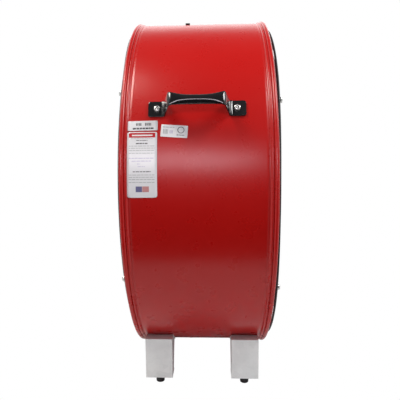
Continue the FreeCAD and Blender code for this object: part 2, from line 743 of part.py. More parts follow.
def make_blade(name, angle):
    """A pressed sheet blade, lofted outwards through curved sections that grow wider and flatter."""
    body = doc.addObject("PartDesign::Body", "Blade")
    sections = []
    for radius, chord, pitch, camber in BLADE_SECTIONS:
        sketch = sketch_on(body, "BladeSection", "XY_Plane", radius)
        swing = math.radians(pitch)
        lift = val("arm_thick / 2 + blade_gap")

        def at(u, n):
            n = n + lift
            return FreeCAD.Vector(u * math.sin(swing) + n * math.cos(swing),
                                  u * math.cos(swing) - n * math.sin(swing), 0)
        rise = camber * chord
        thick = val("blade_thick")
        left, mid, right = at(-chord / 2, rise), at(0, 0), at(chord / 2, rise)
        left_top, mid_top, right_top = at(-chord / 2, rise + thick), at(0, thick), at(chord / 2, rise + thick)
        sketch.addGeometry(Part.Arc(left, mid, right))
        sketch.addGeometry(Part.LineSegment(right, right_top))
        sketch.addGeometry(Part.Arc(right_top, mid_top, left_top))
        sketch.addGeometry(Part.LineSegment(left_top, left))
        sections.append(sketch)
    doc.recompute()
    loft = body.newObject("PartDesign::AdditiveLoft", "Loft")
    loft.Profile = sections[0]
    loft.Sections = sections[1:]
    loft.Ruled = False
    doc.recompute()
    spin = FreeCAD.Rotation(X_AXIS, 90 - angle)
    rivets = []
    for reach in (82, 100):
        for step in (-9, 9):
            rivets.append(wheel_rivet(reach, step, "rivet_radius", "arm_thick + 14"))
            rivets.append(wheel_rivet(reach, step, "rivet_head + 0.2", 8, 6.5))
    drilled = cut(body, *rivets)
    node(name, place(drilled, ("wheel_x", 0, "axis_height"), spin))


def wheel_rivet(reach, step, radius, length, start=-6):
    """A pin square to a blade's arm, at a reach along it and a step across it."""
    pin = cylinder(radius, length)
    swing = math.radians(val("arm_pitch"))
    across = FreeCAD.Vector(math.sin(swing), math.cos(swing), 0)
    normal = FreeCAD.Vector(math.cos(swing), -math.sin(swing), 0)
    pin.Placement = FreeCAD.Placement(
        across * step + normal * start + FreeCAD.Vector(0, 0, reach), FreeCAD.Rotation(Z_AXIS, normal))
    return pin


def make_wheel():
    arms, rivets = [], []
    for angle in BLADE_ANGLES:
        arm = box(("-arm_thick / 2", "-arm_wide / 2", 16), ("arm_thick / 2", "arm_wide / 2", "arm_end"))
        blank = group(arm)
        blank.Placement = FreeCAD.Placement(FreeCAD.Vector(), FreeCAD.Rotation(Z_AXIS, -val("arm_pitch")))
        bores = [wheel_rivet(reach, step, "rivet_radius", 20, -10) for reach in (82, 100) for step in (-9, 9)]
        arm_cut = turned(cut(blank, *bores), angle)
        arms.append(arm_cut)
        for reach in (82, 100):
            for step in (-9, 9):
                shank = wheel_rivet(reach, step, "rivet_radius", 10.6, -3.5)
                head = wheel_rivet(reach, step, "rivet_head", "rivet_head_high", 6.6)
                tail = wheel_rivet(reach, step, "rivet_head", 1.5, -3.5)
                rivets.append(turned(group(fuse(shank, head, tail)), angle))
    boss = cylinder("hub_radius", "hub_long", ("hub_start - wheel_x", 0, 0), "+X")
    bore = cylinder("shaft_radius", "hub_long + 4", ("hub_start - wheel_x - 2", 0, 0), "+X")
    screw_hole = cylinder(3, "hub_radius", ("hub_start + 8 - wheel_x", 0, 0))
    hub = cut(fuse(boss, *arms), bore, screw_hole)
    node("fan_hub", place(hub, ("wheel_x", 0, "axis_height")))
    node("blade_rivets", place(group(*rivets), ("wheel_x", 0, "axis_height")))
    set_screw = cylinder(3, "hub_radius - shaft_radius - 2", ("hub_start + 8", 0, "shaft_radius"))
    node("hub_set_screw", raised(group(set_screw)))
    for index, angle in enumerate(BLADE_ANGLES, 1):
        make_blade("blade_%d" % index, angle)


# ---------------------------------------------------------------- controls

def make_controls():
    plate = "-(%s)" % PLATE_IN
    outer = "-(%s)" % PLATE_OUT
    shell = box((plate, "-box_half_y", "-box_half_z"), ("%s + box_deep" % plate, "box_half_y", "box_half_z"))
    hollow = box((plate, "box_wall - box_half_y", "box_wall - box_half_z"),
                 ("%s + box_deep - box_wall" % plate, "box_half_y - box_wall", "box_half_z - box_wall"))
    posts, screws = [], []
    for sy, sz in BOX_SCREWS:
        y, z = "%s(box_half_y - 5)" % sy, "%s(box_half_z - 5)" % sz
        post = cylinder(3.9, "box_deep - box_wall", (plate, y, z), "+X")
        pilot = cylinder(1.9, 12, (plate, y, z), "+X")
        posts.append(cut(post, pilot))
        shank = cylinder(1.9, 13, ("%s + 11" % plate, y, z), "-X")
        head = cylinder(3.6, 2.4, (outer, y, z), "-X")
        screws.append(fuse(shank, head))
    node("control_box", raised(fuse(cut(shell, hollow), *posts)))
    node("control_box_screws", raised(group(*screws)))
    spindle_hole = cylinder("spindle_radius + 0.4", 24, ("%s + 10" % plate, 0, "switch_up"), "-X")
    body = cylinder("switch_radius", "switch_long", (plate, 0, "switch_up"), "+X")
    bush = cylinder("bush_radius", "guard_plate_thick + bush_out", (plate, 0, "switch_up"), "-X")
    node("speed_switch", raised(cut(fuse(body, bush), spindle_hole)))
    ring = cut(hexagon("bush_nut_across", "bush_nut_high", (outer, 0, "switch_up"), "-X"),
               cylinder("bush_radius", "bush_nut_high", (outer, 0, "switch_up"), "-X"))
    node("switch_nut", raised(ring))
    cap_x = "%s - bush_out - knob_gap" % outer
    cap = cone("knob_radius", "knob_radius - 2.5", "knob_high", (cap_x, 0, "switch_up"), "-X")
    spindle_long = "bush_out + knob_gap + guard_plate_thick + 8"
    spindle = cylinder("spindle_radius", spindle_long, (cap_x, 0, "switch_up"), "+X")
    pointer = box(("%s - knob_high - 1.5" % cap_x, -2.5, "switch_up"),
                  ("%s - knob_high + 4" % cap_x, 2.5, "switch_up + knob_radius - 3"))
    node("speed_knob", raised(fuse(cap, spindle, pointer)))
    seat = ("%s + 14" % plate, 0, "-gland_down")
    thread = cylinder("gland_thread", "14 + guard_plate_thick + 2", seat, "-X")
    collar = hexagon("gland_hex_across", 5, (outer, 0, "-gland_down"), "-X")
    dome = cone("gland_dome_radius", "gland_dome_radius - 2", "gland_out", (outer, 0, "-gland_down"), "-X")
    hole = cylinder("gland_bore", 60, ("%s + 20" % plate, 0, "-gland_down"), "-X")
    node("cord_gland", raised(cut(fuse(thread, collar, dome), hole)))


# ---------------------------------------------------------------- labels

# low x, high x, low angle, high angle
LABELS = {"label_strip": (-109.5, -63.0, 18.85, 21.6), "label_panel": (-109.9, -63.5, 0.9, 18.45),
          "label_small": (-58.0, -16.5, 16.9, 20.3)}


def make_labels():
    for name, (low_x, high_x, low_angle, high_angle) in LABELS.items():
        pieces = []
        for radius in ("shell_radius + label_gap + label_thick", "shell_radius + label_gap"):
            piece = cylinder(radius, high_x - low_x)
            piece.Angle = high_angle - low_angle
            pieces.append(piece)
        spin = ALONG["+X"].multiply(FreeCAD.Rotation(Z_AXIS, 270 - high_angle))
        node(name, place(cut(*pieces), (low_x, 0, "axis_height"), spin))


def write_nodes():
    doc.recompute()
    bad = [o.Label for o in doc.Objects if "Invalid" in o.State or "Error" in o.State]
    bad += [o.Label for o in nodes if o.Shape.isNull() or not o.Shape.isValid()]
    if bad:
        raise RuntimeError("these failed: %s" % ", ".join(bad))
    os.makedirs("parts", exist_ok=True)
    for obj in nodes:
        obj.Shape.exportStep(os.path.join("parts", obj.Label + ".step"))
        reach = obj.Shape.BoundBox
        print("%-22s %2d solids  x %7.1f %7.1f  y %7.1f %7.1f  z %7.1f %7.1f  volume %.0f" % (
            obj.Label, len(obj.Shape.Solids), reach.XMin, reach.XMax, reach.YMin, reach.YMax,
            reach.ZMin, reach.ZMax, obj.Shape.Volume))
    print(len(nodes), "nodes")


make_shell()
for side in SIDES:
    make_guard(side)
make_centre_plates()
handle_nuts = [make_handle(handle_side, at) for handle_side, at in HANDLE_ANGLES.items()]
node("handle_nuts", slid(raised(group(*handle_nuts))))
for leg_name, (leg_at, leg_side) in LEGS.items():
    make_leg(leg_name, leg_at, leg_side)
make_leg_fasteners()
make_feet()
make_rail("near", "-")
make_rail("far", "")
make_rail_fasteners()
make_mount_plate()
make_motor()
make_wheel()
make_controls()
make_labels()
write_nodes()
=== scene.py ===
"""Looks of the drum fan: painted drum, wire guards, handles, folded legs, labels and the works inside."""

import json
import math
import random

import bmesh
import bpy
from mathutils import Matrix, Vector

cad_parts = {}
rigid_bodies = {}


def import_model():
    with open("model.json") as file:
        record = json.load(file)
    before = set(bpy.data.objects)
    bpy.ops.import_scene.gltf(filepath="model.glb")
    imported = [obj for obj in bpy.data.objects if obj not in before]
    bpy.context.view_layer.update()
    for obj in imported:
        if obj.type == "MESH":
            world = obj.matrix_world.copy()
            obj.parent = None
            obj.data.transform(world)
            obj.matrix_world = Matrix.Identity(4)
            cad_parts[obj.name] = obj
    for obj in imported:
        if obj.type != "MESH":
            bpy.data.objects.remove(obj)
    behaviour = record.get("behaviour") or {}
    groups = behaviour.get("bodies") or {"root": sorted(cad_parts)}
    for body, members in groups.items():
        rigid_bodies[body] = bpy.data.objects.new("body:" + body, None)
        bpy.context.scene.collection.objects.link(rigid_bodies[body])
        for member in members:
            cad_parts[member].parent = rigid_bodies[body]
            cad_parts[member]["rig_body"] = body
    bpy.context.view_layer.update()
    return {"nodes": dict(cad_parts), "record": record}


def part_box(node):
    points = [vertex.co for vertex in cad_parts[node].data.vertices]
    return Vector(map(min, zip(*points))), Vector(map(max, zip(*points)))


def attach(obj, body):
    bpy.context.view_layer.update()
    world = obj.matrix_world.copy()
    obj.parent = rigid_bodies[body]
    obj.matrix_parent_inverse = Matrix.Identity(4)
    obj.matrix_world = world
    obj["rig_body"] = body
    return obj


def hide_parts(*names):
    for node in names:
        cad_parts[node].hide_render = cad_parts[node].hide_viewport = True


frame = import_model()

MM = 0.001
shell_low, shell_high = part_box("drum_shell")
AXIS = (shell_low + shell_high) / 2
HALF = (shell_high.x - shell_low.x) / 2
RIM_RADIUS = (shell_high.z - shell_low.z) / 2
BODY_RADIUS = RIM_RADIUS - 3.5 * MM
WALL = 1.5 * MM
SLOT_OF = {s["node"]: s["material_slot"] for s in frame["record"]["subparts"]}


# ------------------------------------------------------------------ materials

class Shader:
    """A small wrapper for building one node material."""

    def __init__(self, name, **values):
        self.material = bpy.data.materials.new(name)
        self.material.use_nodes = True
        self.tree = self.material.node_tree
        self.bsdf = self.tree.nodes["Principled BSDF"]
        self.set(**values)
        coords = self.tree.nodes.new("ShaderNodeTexCoord")
        self.place = coords.outputs["Object"]

    def set(self, **values):
        for key, value in values.items():
            socket = self.bsdf.inputs[key.replace("_", " ")]
            socket.default_value = (*value, 1) if isinstance(value, tuple) else value

    def node(self, kind, **settings):
        made = self.tree.nodes.new(kind)
        for key, value in settings.items():
            if key in made.inputs:
                made.inputs[key].default_value = value
            else:
                setattr(made, key, value)
        return made

    def link(self, source, target):
        self.tree.links.new(source, target)

    def noise(self, scale, detail=4.0, roughness=0.55, stretch=(1, 1, 1)):
        mapping = self.node("ShaderNodeMapping")
        mapping.inputs["Scale"].default_value = stretch
        made = self.node("ShaderNodeTexNoise", Scale=scale, Detail=detail, Roughness=roughness)
        self.link(self.place, mapping.inputs["Vector"])
        self.link(mapping.outputs["Vector"], made.inputs["Vector"])
        return made.outputs["Fac"]

    def cells(self, scale, stretch=(1, 1, 1)):
        mapping = self.node("ShaderNodeMapping")
        mapping.inputs["Scale"].default_value = stretch
        made = self.node("ShaderNodeTexVoronoi", Scale=scale)
        self.link(self.place, mapping.inputs["Vector"])
        self.link(mapping.outputs["Vector"], made.inputs["Vector"])
        return made.outputs["Color"]

    def ramp(self, source, low, high, start=0.3, end=0.7):
        made = self.node("ShaderNodeValToRGB")
        made.color_ramp.elements[0].position = start
        made.color_ramp.elements[0].color = (*low, 1)
        made.color_ramp.elements[1].position = end
        made.color_ramp.elements[1].color = (*high, 1)
        self.link(source, made.inputs["Fac"])
        return made.outputs["Color"]

    def span(self, source, low, high):
        made = self.node("ShaderNodeMapRange")
        made.inputs["To Min"].default_value = low
        made.inputs["To Max"].default_value = high
        self.link(source, made.inputs["Value"])
        return made.outputs["Result"]

    def mix(self, factor, a, b):
        made = self.node("ShaderNodeMix", data_type="RGBA")
        self.link(factor, made.inputs[0])
        self.link(a, made.inputs[6])
        self.link(b, made.inputs[7])
        return made.outputs[2]

    def bump(self, source, strength, distance):
        made = self.node("ShaderNodeBump", Strength=strength, Distance=distance)
        self.link(source, made.inputs["Height"])
        previous = self.bsdf.inputs["Normal"].links
        if previous:
            self.link(previous[0].from_socket, made.inputs["Normal"])
        self.link(made.outputs["Normal"], self.bsdf.inputs["Normal"])

    def color(self, source):
        self.link(source, self.bsdf.inputs["Base Color"])

    def rough(self, source):
        self.link(source, self.bsdf.inputs["Roughness"])


def drum_paint():
    s = Shader("drum_paint", IOR=1.5, Specular_IOR_Level=0.42)
    s.color(s.ramp(s.noise(5.0, 3.0), (0.385, 0.0034, 0.0026), (0.42, 0.0044, 0.0032)))
    s.rough(s.span(s.noise(38.0, 4.0), 0.25, 0.31))
    s.bump(s.noise(420.0, 2.0), 0.05, 0.0005)
    s.bump(s.noise(9.0, 2.0, stretch=(1, 0.5, 0.5)), 0.10, 0.004)
    return s.material


def black_paint(name, base, rough_low, rough_high, grain, coat=0.0):
    s = Shader(name, IOR=1.5, Coat_Weight=coat, Coat_Roughness=0.08)
    s.color(s.ramp(s.noise(30.0), base, tuple(c * 1.7 + 0.002 for c in base)))
    s.rough(s.span(s.noise(90.0), rough_low, rough_high))
    s.bump(s.noise(grain, 2.0), 0.12, 0.0004)
    return s.material


def galvanised():
    s = Shader("galvanised_sheet", Metallic=0.2, IOR=1.6)
    spangle = s.ramp(s.cells(95.0), (0.64, 0.675, 0.67), (0.74, 0.775, 0.765), 0.1, 0.9)
    cloud = s.ramp(s.noise(24.0, 5.0, 0.6), (0.57, 0.60, 0.59), (0.79, 0.825, 0.81))
    s.color(s.mix(s.noise(7.0), spangle, cloud))
    s.rough(s.span(s.noise(60.0, 4.0, stretch=(1, 1, 0.2)), 0.34, 0.52))
    s.bump(s.noise(500.0, 3.0, stretch=(1, 1, 0.15)), 0.10, 0.0003)
    return s.material


def zinc():
    s = Shader("zinc_plated", Metallic=0.95)
    s.color(s.ramp(s.noise(220.0), (0.60, 0.60, 0.58), (0.78, 0.78, 0.76)))
    s.rough(s.span(s.noise(300.0), 0.18, 0.32))
    s.bump(s.noise(900.0), 0.06, 0.0002)
    return s.material


def alloy(name, dark, light, rough_low, rough_high, stretch=(1, 1, 1)):
    s = Shader(name, Metallic=0.9)
    s.color(s.ramp(s.noise(40.0, 5.0, stretch=stretch), dark, light))
    s.rough(s.span(s.noise(120.0, 4.0, stretch=stretch), rough_low, rough_high))
    s.bump(s.noise(600.0, 3.0, stretch=stretch), 0.12, 0.0003)
    return s.material


def lamination():
    s = Shader("lamination_steel", Metallic=0.6)
    s.color(s.ramp(s.noise(800.0, 1.0, stretch=(1, 0.02, 0.02)), (0.12, 0.10, 0.09), (0.33, 0.31, 0.29)))
    s.rough(s.span(s.noise(80.0), 0.4, 0.6))
    s.bump(s.noise(800.0, 1.0, stretch=(1, 0.02, 0.02)), 0.3, 0.0005)
    return s.material


def rubber():
    s = Shader("foot_rubber", IOR=1.45)
    s.color(s.ramp(s.noise(60.0), (0.010, 0.010, 0.010), (0.024, 0.024, 0.025)))
    s.rough(s.span(s.noise(150.0), 0.42, 0.62))
    s.bump(s.noise(700.0), 0.2, 0.0004)
    return s.material


def moulded_black():
    s = Shader("moulded_black", IOR=1.46)
    s.color(s.ramp(s.noise(50.0), (0.018, 0.018, 0.019), (0.03, 0.03, 0.031)))
    s.rough(s.span(s.noise(160.0), 0.38, 0.52))
    s.bump(s.noise(1100.0, 2.0), 0.25, 0.0004)
    return s.material


def film(name, low, high, rough=0.28):
    s = Shader(name, IOR=1.46, Coat_Weight=0.25, Coat_Roughness=0.12)
    s.color(s.ramp(s.noise(18.0), low, high))
    s.rough(s.span(s.noise(70.0), rough, rough + 0.1))
    s.bump(s.noise(35.0, 2.0), 0.05, 0.0008)
    return s.material


MATERIALS = {
    "painted_drum": drum_paint(),
    "guard_wire": black_paint("guard_black", (0.006, 0.006, 0.007), 0.46, 0.60, 600.0),
    "zinc": zinc(),
    "handle_black": black_paint("handle_gloss_black", (0.006, 0.006, 0.007), 0.08, 0.15, 260.0, 0.35),
    "galvanised": galvanised(),
    "foot_rubber": rubber(),
    "dark_steel": black_paint("dark_bolt", (0.022, 0.021, 0.020), 0.28, 0.4, 700.0),
    "motor_paint": black_paint("motor_black", (0.014, 0.014, 0.016), 0.32, 0.46, 350.0),
    "cast_alloy": alloy("cast_alloy", (0.36, 0.37, 0.38), (0.56, 0.57, 0.58), 0.42, 0.58),
    "lamination": lamination(),
    "ground_steel": alloy("ground_steel", (0.60, 0.60, 0.60), (0.78, 0.78, 0.77), 0.12, 0.24,
                          (0.1, 1, 1)),
    "capacitor_can": alloy("capacitor_can", (0.62, 0.62, 0.64), (0.76, 0.76, 0.78), 0.24, 0.36,
                           (0.05, 1, 1)),
    "blade_alloy": alloy("blade_alloy", (0.58, 0.59, 0.60), (0.76, 0.77, 0.78), 0.26, 0.40,
                         (0.2, 1, 1)),
    "control_plastic": moulded_black(),
    "label_white": film("label_film", (0.66, 0.67, 0.68), (0.71, 0.72, 0.73)),
}
INKS = {
    "red": film("ink_red", (0.42, 0.006, 0.012), (0.50, 0.010, 0.016)),
    "dark": film("ink_dark", (0.05, 0.05, 0.055), (0.09, 0.09, 0.10)),
    "grey": film("ink_grey", (0.36, 0.38, 0.38), (0.42, 0.44, 0.44)),
    "violet": film("ink_violet", (0.40, 0.38, 0.52), (0.46, 0.44, 0.58)),
    "blue": film("ink_blue", (0.10, 0.10, 0.22), (0.15, 0.15, 0.28)),
    "pale": film("ink_pale", (0.74, 0.74, 0.72), (0.80, 0.80, 0.78)),
    "rose": film("ink_rose", (0.46, 0.20, 0.20), (0.54, 0.26, 0.25)),
}


# ------------------------------------------------------------------ mesh helpers

def make_piece(name, mesh, slot_name, body, material=None, smooth=True):
    """Put a finished mesh in the scene as a piece that rides on a body."""
    mesh.materials.append(material or MATERIALS[slot_name])
    for face in mesh.polygons:
        face.use_smooth = smooth
    obj = bpy.data.objects.new(name, mesh)
    bpy.context.scene.collection.objects.link(obj)
    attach(obj, body)
    return obj


def mesh_from(name, build):
    bm = bmesh.new()
    build(bm)
    bmesh.ops.recalc_face_normals(bm, faces=bm.faces)
    mesh = bpy.data.meshes.new(name)
    bm.to_mesh(mesh)
    bm.free()
    return mesh


def grid_faces(bm, rows, close_rows=False, close_columns=False):
    """Skin a grid of vertices, given as a list of rows."""
    count, width = len(rows), len(rows[0])
    for i in range(count if close_rows else count - 1):
        for j in range(width if close_columns else width - 1):
            a, b = rows[i], rows[(i + 1) % count]
            bm.faces.new((a[j], a[(j + 1) % width], b[(j + 1) % width], b[j]))


def add_revolved(bm, profile, centre, segments):
    """Turn a profile of (distance along X, radius) round the line through a point."""
    rows = []
    for k in range(segments):
        turn = 2 * math.pi * k / segments
        side, up = math.cos(turn), math.sin(turn)
        rows.append([bm.verts.new((centre.x + x, centre.y + r * side, centre.z + r * up))
                     for x, r in profile])
    grid_faces(bm, rows, close_rows=True, close_columns=True)


def arc(centre_x, centre_r, radius, start, end, steps):
    """Points of (x, r) on a circle, from one angle to another; 0 points along X and 90 outwards."""
    points = []
    for k in range(steps + 1):
        a = math.radians(start + (end - start) * k / steps)
        points.append((centre_x + radius * math.cos(a), centre_r + radius * math.sin(a)))
    return points


def add_tube(bm, a, b, radius, sides=12):
    """A closed round bar between two points."""
    along = (b - a).normalized()
    across = along.orthogonal().normalized()
    other = along.cross(across)
    chamfer = along * radius * 0.5
    rings = []
    for end, inset in ((a, 0.55), (a + chamfer, 1.0), (b - chamfer, 1.0), (b, 0.55)):
        ring = []
        for k in range(sides):
            turn = 2 * math.pi * k / sides
            spoke = (across * math.cos(turn) + other * math.sin(turn)) * radius * inset
            ring.append(bm.verts.new(end + spoke))
        rings.append(ring)
    grid_faces(bm, rings, close_columns=True)
    bm.faces.new(rings[0])
    bm.faces.new(rings[-1])


def on_drum(angle, x, radius, tangent=0.0):
    """A point at an angle round the drum (0 is the near side, 90 the top), a radius and a side step."""
    a = math.radians(angle)
    outward = Vector((0, -math.cos(a), math.sin(a)))
    around = Vector((0, math.sin(a), math.cos(a)))
    return AXIS + Vector((x, 0, 0)) + outward * radius + around * tangent


def refined(node, bevel):
    """A copy of a CAD piece with its edges broken by a small radius."""
    source = frame["nodes"][node]
    bm = bmesh.new()
    bm.from_mesh(source.data)
    bmesh.ops.remove_doubles(bm, verts=bm.verts, dist=0.004 * MM)
    bmesh.ops.dissolve_limit(bm, angle_limit=math.radians(0.6), verts=bm.verts, edges=bm.edges)
    mesh = bpy.data.meshes.new(node + "_look")
    bm.to_mesh(mesh)
    bm.free()
    obj = make_piece(node + "_look", mesh, SLOT_OF[node], source["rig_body"])
    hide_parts(node)
    edges = obj.modifiers.new("edges", "BEVEL")
    edges.width = bevel
    edges.segments = 3
    edges.limit_method = "ANGLE"
    edges.angle_limit = math.radians(34.0)
    edges.harden_normals = False
    normals = obj.modifiers.new("normals", "WEIGHTED_NORMAL")
    normals.keep_sharp = True


# ------------------------------------------------------------------ drum

def drum_profile():
    """The closed section of the drum's wall: rolled rims, a bead beside each, and the inward flanges."""
    roll, bead = 3.9 * MM, 2.6 * MM
    roll_x, roll_r = HALF - roll, RIM_RADIUS - roll
    bead_x, bead_r = HALF - 10.2 * MM, BODY_RADIUS + 1.8 * MM - bead
    front = []
    front.append((0.0, BODY_RADIUS))
    front.append((HALF - 19.0 * MM, BODY_RADIUS))
    front.append((HALF - 17.0 * MM, BODY_RADIUS - 0.15 * MM))
    front.append((HALF - 15.4 * MM, BODY_RADIUS - 0.8 * MM))
    front.append((HALF - 14.2 * MM, BODY_RADIUS - 0.9 * MM))
    front += arc(bead_x, bead_r, bead, 152, 22, 10)
    front += arc(roll_x, roll_r, roll, 167, 0, 14)
    front.append((HALF, 301.0 * MM))
    front += arc(HALF - 1.6 * MM, 299.8 * MM, 1.6 * MM, 0, -180, 8)
    front.append((HALF - 3.2 * MM, 303.0 * MM))
    front.append((HALF - 1.6 * MM, 304.6 * MM))
    front.append((HALF - WALL, 328.0 * MM))
    front.append((HALF - 3.0 * MM, BODY_RADIUS - WALL))
    front.append((0.0, BODY_RADIUS - WALL))
    rear = [(-x, r) for x, r in reversed(front)]
    return front[:-1] + rear[:-1]


def make_drum():
    def build(bm):
        add_revolved(bm, drum_profile(), AXIS, 288)
    drum = make_piece("drum_skin", mesh_from("drum_skin", build), "painted_drum", "drum")
    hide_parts("drum_shell", "front_face_ring", "rear_face_ring")
    seam_angle = -118.0

    def seam(bm):
        """The lap weld of the rolled wall, dressed flat, underneath and out of the way."""
        rows = []
        steps = 60
        for i in range(steps + 1):
            x = -HALF + 20 * MM + (2 * HALF - 40 * MM) * i / steps
            ripple = 0.12 * MM * math.sin(i * 2.3)
            row = []
            for j in range(7):
                t = (j / 6 - 0.5)
                height = 0.45 * MM * math.cos(t * math.pi) + 0.02 * MM
                row.append(bm.verts.new(on_drum(seam_angle, x, BODY_RADIUS + height + ripple * 0.2,
                                                t * 5 * MM + ripple)))
            rows.append(row)
        grid_faces(bm, rows)
    make_piece("drum_seam", mesh_from("drum_seam", seam), "painted_drum", "drum")


# ------------------------------------------------------------------ guards

GUARD_SIDES = {"front": 1, "rear": -1}
GUARD_HUB = 62.0 * MM
GUARD_RING = 2.0 * MM
ROD_CLOCK = {"front": 0.0, "rear": 3.5}


def guard_data(side):
    low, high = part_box(side + "_guard")
    sign = GUARD_SIDES[side]
    return sign, sign * HALF, (high.z - low.z) / 2 - GUARD_RING


def bow(side, point, outer):
    """How far a guard stands off the rim at a point: its outer ring bows away at the top and bottom."""
    radius = math.hypot(point.y - AXIS.y, point.z - AXIS.z)
    height = (point.z - AXIS.z) / outer
    if side == "front":
        share, most = (abs(height) - 0.05) / 0.8, 4.2 * MM
    else:
        share, most = (height - 0.6) / 0.35, 3.6 * MM
    share = min(1.0, max(0.0, share))
    reach = min(1.0, max(0.0, (radius - GUARD_HUB) / (outer - GUARD_HUB)))
    return most * share * share * (3 - 2 * share) * reach


def make_guard(side):
    sign, face, outer = guard_data(side)
    wire = 1.7 * MM
    rod = 1.8 * MM
    dome = 9.0 * MM
    first, pitch, ring_count = 74.0 * MM, 13.5 * MM, 17
    rod_count = 16

    def depth(radius):
        return sign * (HALF + GUARD_RING + dome * (outer - radius) / (outer - GUARD_HUB))

    def stand_off(bm):
        for vertex in bm.verts:
            vertex.co.x += sign * bow(side, vertex.co, outer)

    def build(bm):
        add_revolved(bm, arc(depth(outer), outer, GUARD_RING, 0, 330, 11), AXIS, 192)
        add_revolved(bm, arc(depth(GUARD_HUB), GUARD_HUB, 2.5 * MM, 0, 330, 11), AXIS, 96)
        for k in range(ring_count):
            radius = first + pitch * k
            lift = sign * (rod + wire - 0.25 * MM)
            add_revolved(bm, arc(depth(radius) + lift, radius, wire, 0, 320, 8), AXIS, 144)
        for k in range(rod_count):
            angle = 360 / rod_count * (k + 0.5) + ROD_CLOCK[side]
            add_tube(bm, on_drum(angle, depth(GUARD_HUB), GUARD_HUB),
                     on_drum(angle, depth(outer), outer - GUARD_RING), rod)
        stand_off(bm)
    name = side + "_guard_wires"
    guard = make_piece(name, mesh_from(name, build), "guard_wire", "drum")
    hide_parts(side + "_guard")

    def eyelets(bm):
        """Formed wire eyes on the outer ring, one at each screw."""
        for centre in screw_centres(side):
            add_revolved(bm, eyelet_section(sign, face), centre, 36)
        stand_off(bm)
    make_piece(side + "_guard_eyes", mesh_from(side + "_guard_eyes", eyelets), "guard_wire", "drum")


def eyelet_section(sign, face):
    """A thick rounded washer between the rim's flange and the screw's head."""
    low, high, inner, outer, edge = 0.0, 3.8 * MM, 2.6 * MM, 7.6 * MM, 1.5 * MM
    points = [(low, inner)]
    points += arc(low + edge, outer - edge, edge, 180, 90, 5)
    points += arc(high - edge, outer - edge, edge, 90, 0, 5)
    points.append((high, inner))
    return [(face + sign * x, r) for x, r in points]


def screw_centres(side):
    """The screws' centres on the drum's middle plane, read from the CAD screws' own islands."""
    mesh = frame["nodes"][side + "_guard_screws"].data
    sums = {}
    for vertex in mesh.vertices:
        offset = vertex.co - AXIS
        angle = math.degrees(math.atan2(offset.z, -offset.y))
        key = round((angle + 30) / 60) % 6
        sums.setdefault(key, []).append(vertex.co)
    centres = []
    for points in sums.values():
        low = [min(p[i] for p in points) for i in range(3)]
        high = [max(p[i] for p in points) for i in range(3)]
        centres.append(Vector((AXIS.x, (low[1] + high[1]) / 2, (low[2] + high[2]) / 2)))
    return centres


# ------------------------------------------------------------------ screws

def add_pan_head(bm, seat, outward, radius, height, spin=0.0):
    """A pan head with a cross recess, its flat side on the seat."""
    up = outward.normalized()
    across = up.orthogonal().normalized()
    across = Matrix.Rotation(spin, 3, up) @ across
    other = up.cross(across)
    rings, sides = 16, 48
    slot = 0.15 * radius
    rows = []
    for i in range(rings + 1):
        share = i / rings
        r = radius * math.sin(share * math.pi / 2) ** 0.8
        z = height * (1 - share ** 3.2)
        row = []
        for k in range(sides):
            turn = 2 * math.pi * k / sides
            u, v = r * math.cos(turn), r * math.sin(turn)
            recess = 0.0
            near = min(abs(u), abs(v))
            if near < slot and r < 0.55 * radius:
                recess = 0.42 * height * (1 - (near / slot) ** 3)
            row.append(bm.verts.new(seat + across * u + other * v + up * (z - recess)))
        rows.append(row)
    base = [bm.verts.new(seat + (v.co - seat) - up * ((v.co - seat).dot(up))) for v in rows[-1]]
    rows.append(base)
    grid_faces(bm, rows[1:], close_columns=True)
    bm.faces.new(rows[1])
    bm.faces.new(base)


def make_screws(name, node, spots, radius, height):
    """Detailed heads in the CAD screws' places, with a shank under each."""
    draw = random.Random(len(name))

    def build(bm):
        for seat, outward in spots:
            add_pan_head(bm, seat, outward, radius, height, draw.uniform(0, math.pi))
            up = outward.normalized()
            add_tube(bm, seat - up * 14 * MM, seat + up * 0.2 * MM, 2.3 * MM)
    piece = make_piece(name, mesh_from(name, build), "zinc", "drum")
    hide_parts(node)


def drum_outward(angle):
    """The direction straight out of the drum at an angle round it."""
    a = math.radians(angle)
    return Vector((0, -math.cos(a), math.sin(a)))


# ------------------------------------------------------------------ handles

HANDLES = {"near": 24.9, "far": 155.1}
HANDLE_X = -2.2 * MM
HANDLE_END = 76.0
HANDLE_BEND = 42.5
HANDLE_SCREW = 62.0


def handle_path():
    """Points (x, radius above the drum) of the strap's middle line, with its corners rounded."""
    corners = [(HANDLE_END, 1.4, 0), (54.6, 1.4, 1.0), (52.3, 2.5, 0.9), (50.6, 2.6, 0.9),
               (HANDLE_BEND, 34.2, 5.5), (0.0, 35.4, 0)]
    points = [(HANDLE_END - shift, 1.4) for shift in (0, 0.15, 0.5, 1.1, 2.0, 3.2, 4.6, 6.0)]
    for i in range(1, len(corners) - 1):
        before, here, after = (Vector(corners[k][:2]) for k in (i - 1, i, i + 1))
        radius = corners[i][2]
        start = here + (before - here).normalized() * radius
        end = here + (after - here).normalized() * radius
        for k in range(9):
            t = k / 8
            spot = start * (1 - t) ** 2 + here * (2 * t * (1 - t)) + end * t ** 2
            points.append((spot.x, spot.y))
    last = points[-1][0]
    for k in range(1, 13):
        x = last * (1 - k / 12)
        points.append((x, points[-1][1] + 0.9 / 12 * (1 - k / 12)))
    return points + [(-x, r) for x, r in reversed(points[:-1])]


